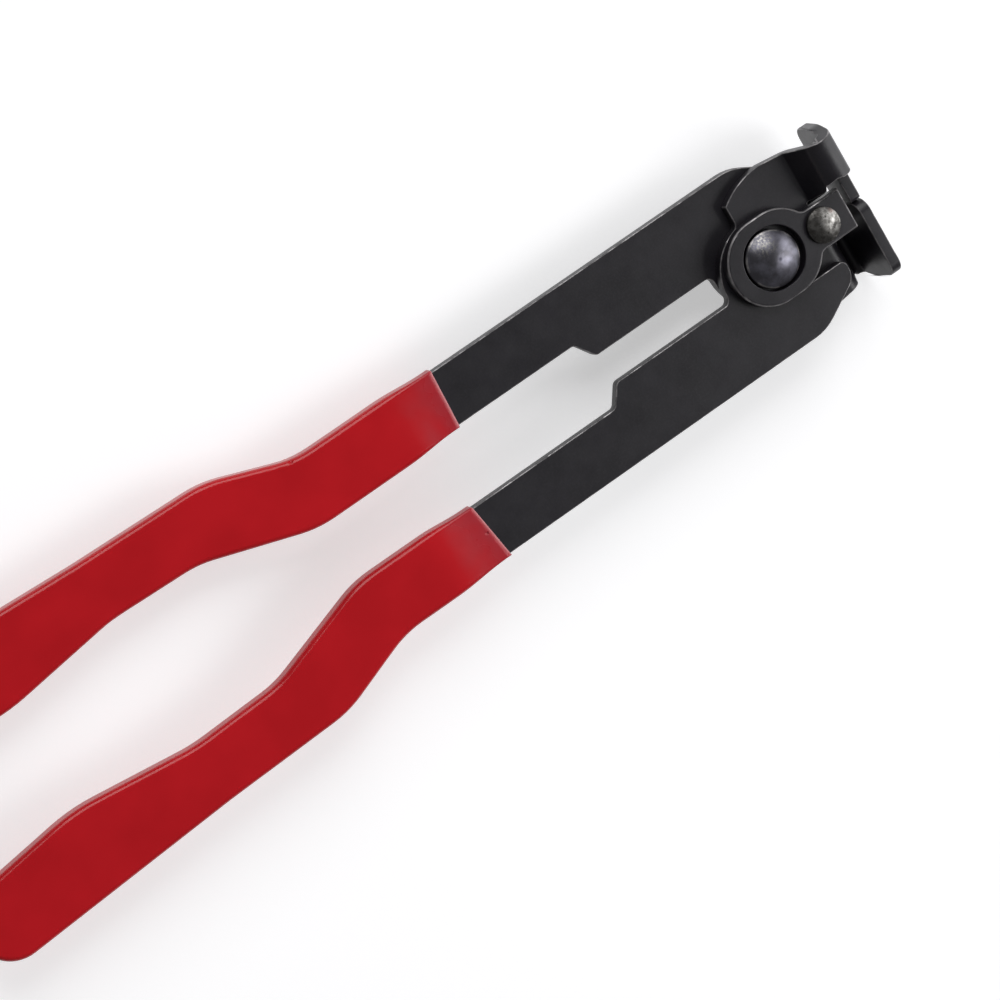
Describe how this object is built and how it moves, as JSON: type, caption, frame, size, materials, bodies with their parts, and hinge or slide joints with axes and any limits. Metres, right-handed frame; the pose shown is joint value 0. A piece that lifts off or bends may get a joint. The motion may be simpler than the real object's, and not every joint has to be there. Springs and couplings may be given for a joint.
{
  "type": "ear clamp pliers",
  "caption": "Long-handled pliers that squeeze the ear of a hose clamp: stamped levers, hooked jaws, a keeper plate on each side and dipped grips.",
  "frame": {"origin": "middle of the closed tool's bounding box, in the mid-plane between the two levers", "axes": "+X along the tool's axis from the grips to the jaws, +Y towards the side of the handle plane where the front lever's jaw lies, +Z out of the front keeper along the pivot rivet"},
  "size_m": [0.2448, 0.064, 0.0222],
  "materials": {
    "black_steel": "black oxide on stamped sheet, semi-matte",
    "rivet_steel": "darkened steel, turned and worn",
    "bare_rivet": "bare peened steel, mottled",
    "red_vinyl": "dipped vinyl, glossy"
  },
  "bodies": {
    "rear": {"rear_lever": "black_steel", "rear_lever_grip": "red_vinyl", "pivot_rivet": "rivet_steel"},
    "front": {"front_lever": "black_steel", "front_lever_grip": "red_vinyl"},
    "keepers": {"front_keeper": "black_steel", "rear_keeper": "black_steel", "keeper_rivet": "bare_rivet", "keeper_spacer": "rivet_steel"}
  },
  "joints": [
    {"name": "open", "type": "hinge", "parent": "rear", "child": "front", "pos_m": [0.0973, 0, 0], "axis": [0, 0, 1], "range_deg": [0, 53]},
    {"name": "keeper_follow", "type": "hinge", "parent": "rear", "child": "keepers", "pos_m": [0.0973, 0, 0], "axis": [0, 0, 1], "range_deg": [0, 26.5]}
  ],
  "couplings": [
    {"joint": "keeper_follow", "follows": "open", "ratio": 0.5}
  ]
}
